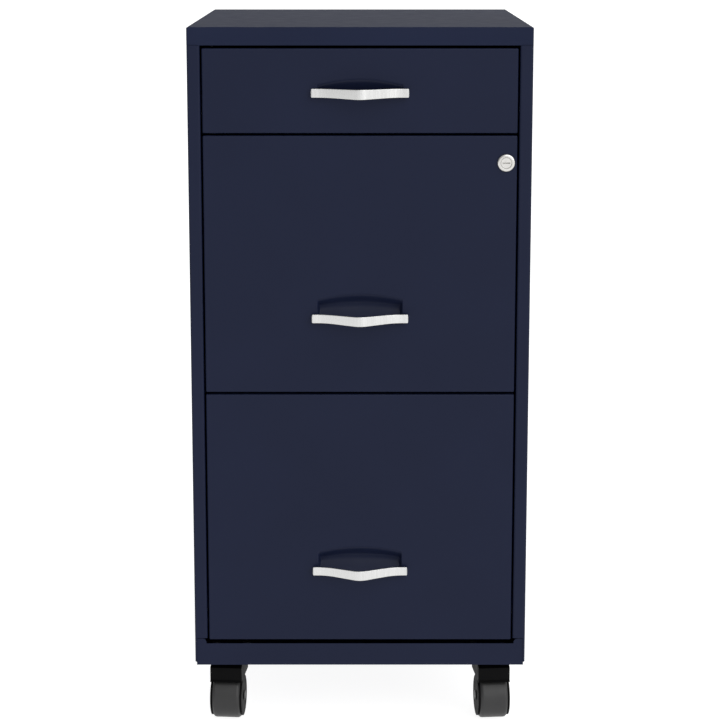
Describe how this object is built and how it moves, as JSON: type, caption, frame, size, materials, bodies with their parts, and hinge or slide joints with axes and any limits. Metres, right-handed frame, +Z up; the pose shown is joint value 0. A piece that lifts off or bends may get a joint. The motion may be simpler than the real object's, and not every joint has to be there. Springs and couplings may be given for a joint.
{
  "type": "mobile file cabinet",
  "caption": "Mobile steel file cabinet with a box drawer over file drawers, bowed handles in pressed recesses, a cam lock and swivel casters.",
  "frame": {"origin": "centre of the footprint, handles included, at floor level", "axes": "+X to the right seen from the front, +Y to the back, +Z up; the drawers open towards -Y"},
  "size_m": [0.362, 0.4806, 0.7643],
  "materials": {
    "navy_coat": "satin powder coat",
    "silver_metal": "brushed",
    "zinc_steel": "zinc plated",
    "white_nylon": "matte",
    "black_plastic": "matte",
    "black_nylon": "satin"
  },
  "bodies": {
    "case": {"top_cap": "navy_coat", "left_side": "navy_coat", "right_side": "navy_coat", "back_panel": "navy_coat", "base_pan": "navy_coat", "plinth": "navy_coat", "left_upright": "navy_coat", "right_upright": "navy_coat", "caster_rivets": "zinc_steel", "top_cabinet_rails": "navy_coat", "middle_cabinet_rails": "navy_coat", "bottom_cabinet_rails": "navy_coat", "front_left_caster_plate": "zinc_steel", "front_right_caster_plate": "zinc_steel", "rear_left_caster_plate": "zinc_steel", "rear_right_caster_plate": "zinc_steel"},
    "top_drawer": {"top_drawer_front": "navy_coat", "top_drawer_liner": "navy_coat", "top_drawer_tub": "navy_coat", "top_drawer_rails": "zinc_steel", "top_handle": "silver_metal", "top_handle_screws": "zinc_steel"},
    "top_front_rollers": {"top_front_rollers": "white_nylon"},
    "top_rear_rollers": {"top_rear_rollers": "white_nylon"},
    "middle_drawer": {"middle_drawer_front": "navy_coat", "middle_drawer_liner": "navy_coat", "middle_drawer_tub": "navy_coat", "middle_drawer_rails": "zinc_steel", "middle_handle": "silver_metal", "middle_handle_screws": "zinc_steel", "lock_barrel": "silver_metal", "lock_nut": "zinc_steel"},
    "middle_front_rollers": {"middle_front_rollers": "white_nylon"},
    "middle_rear_rollers": {"middle_rear_rollers": "white_nylon"},
    "bottom_drawer": {"bottom_drawer_front": "navy_coat", "bottom_drawer_liner": "navy_coat", "bottom_drawer_tub": "navy_coat", "bottom_drawer_rails": "zinc_steel", "bottom_handle": "silver_metal", "bottom_handle_screws": "zinc_steel"},
    "bottom_front_rollers": {"bottom_front_rollers": "white_nylon"},
    "bottom_rear_rollers": {"bottom_rear_rollers": "white_nylon"},
    "lock": {"lock_plug": "silver_metal", "lock_cam": "zinc_steel", "lock_cam_screw": "zinc_steel"},
    "front_left_swivel": {"front_left_yoke": "black_plastic", "front_left_axle": "zinc_steel"},
    "front_left_wheel": {"front_left_wheel": "black_nylon"},
    "front_right_swivel": {"front_right_yoke": "black_plastic", "front_right_axle": "zinc_steel"},
    "front_right_wheel": {"front_right_wheel": "black_nylon"},
    "rear_left_swivel": {"rear_left_yoke": "black_plastic", "rear_left_axle": "zinc_steel"},
    "rear_left_wheel": {"rear_left_wheel": "black_nylon"},
    "rear_right_swivel": {"rear_right_yoke": "black_plastic", "rear_right_axle": "zinc_steel"},
    "rear_right_wheel": {"rear_right_wheel": "black_nylon"}
  },
  "joints": [
    {"name": "top_drawer_slide", "type": "slide", "parent": "case", "child": "top_drawer", "axis": [0, -1, 0], "range_m": [0, 0.31]},
    {"name": "top_front_roller_spin", "type": "hinge", "parent": "case", "child": "top_front_rollers", "pos_m": [0, -0.18275, 0.6742], "axis": [1, 0, 0], "range_deg": [-1, 2141]},
    {"name": "top_rear_roller_spin", "type": "hinge", "parent": "top_drawer", "child": "top_rear_rollers", "pos_m": [0, 0.17125, 0.6742], "axis": [1, 0, 0], "range_deg": [-1, 2141]},
    {"name": "middle_drawer_slide", "type": "slide", "parent": "case", "child": "middle_drawer", "axis": [0, -1, 0], "range_m": [0, 0.31]},
    {"name": "middle_front_roller_spin", "type": "hinge", "parent": "case", "child": "middle_front_rollers", "pos_m": [0, -0.18275, 0.3966], "axis": [1, 0, 0], "range_deg": [-1, 2141]},
    {"name": "middle_rear_roller_spin", "type": "hinge", "parent": "middle_drawer", "child": "middle_rear_rollers", "pos_m": [0, 0.17125, 0.3966], "axis": [1, 0, 0], "range_deg": [-1, 2141]},
    {"name": "bottom_drawer_slide", "type": "slide", "parent": "case", "child": "bottom_drawer", "axis": [0, -1, 0], "range_m": [0, 0.31]},
    {"name": "bottom_front_roller_spin", "type": "hinge", "parent": "case", "child": "bottom_front_rollers", "pos_m": [0, -0.18275, 0.119], "axis": [1, 0, 0], "range_deg": [-1, 2141]},
    {"name": "bottom_rear_roller_spin", "type": "hinge", "parent": "bottom_drawer", "child": "bottom_rear_rollers", "pos_m": [0, 0.17125, 0.119], "axis": [1, 0, 0], "range_deg": [-1, 2141]},
    {"name": "lock_turn", "type": "hinge", "parent": "middle_drawer", "child": "lock", "pos_m": [0.1538, -0.21675, 0.6229], "axis": [0, -1, 0], "range_deg": [0, 90]},
    {"name": "front_left_swivel_turn", "type": "hinge", "parent": "case", "child": "front_left_swivel", "pos_m": [-0.145, -0.16675, 0.066], "axis": [0, 0, 1], "continuous": true},
    {"name": "front_left_wheel_roll", "type": "hinge", "parent": "front_left_swivel", "child": "front_left_wheel", "pos_m": [-0.14674, -0.18667, 0.025], "axis": [0.9962, -0.0872, 0], "continuous": true},
    {"name": "front_right_swivel_turn", "type": "hinge", "parent": "case", "child": "front_right_swivel", "pos_m": [0.145, -0.16675, 0.066], "axis": [0, 0, 1], "continuous": true},
    {"name": "front_right_wheel_roll", "type": "hinge", "parent": "front_right_swivel", "child": "front_right_wheel", "pos_m": [0.14674, -0.18667, 0.025], "axis": [0.9962, 0.0872, 0], "continuous": true},
    {"name": "rear_left_swivel_turn", "type": "hinge", "parent": "case", "child": "rear_left_swivel", "pos_m": [-0.145, 0.19525, 0.066], "axis": [0, 0, 1], "continuous": true},
    {"name": "rear_left_wheel_roll", "type": "hinge", "parent": "rear_left_swivel", "child": "rear_left_wheel", "pos_m": [-0.14674, 0.17533, 0.025], "axis": [0.9962, -0.0872, 0], "continuous": true},
    {"name": "rear_right_swivel_turn", "type": "hinge", "parent": "case", "child": "rear_right_swivel", "pos_m": [0.145, 0.19525, 0.066], "axis": [0, 0, 1], "continuous": true},
    {"name": "rear_right_wheel_roll", "type": "hinge", "parent": "rear_right_swivel", "child": "rear_right_wheel", "pos_m": [0.14674, 0.17533, 0.025], "axis": [0.9962, 0.0872, 0], "continuous": true}
  ],
  "couplings": [
    {"joint": "top_front_roller_spin", "follows": "top_drawer_slide", "rad_per_m": 120.48},
    {"joint": "top_rear_roller_spin", "follows": "top_drawer_slide", "rad_per_m": 120.48},
    {"joint": "middle_front_roller_spin", "follows": "middle_drawer_slide", "rad_per_m": 120.48},
    {"joint": "middle_rear_roller_spin", "follows": "middle_drawer_slide", "rad_per_m": 120.48},
    {"joint": "bottom_front_roller_spin", "follows": "bottom_drawer_slide", "rad_per_m": 120.48},
    {"joint": "bottom_rear_roller_spin", "follows": "bottom_drawer_slide", "rad_per_m": 120.48}
  ]
}
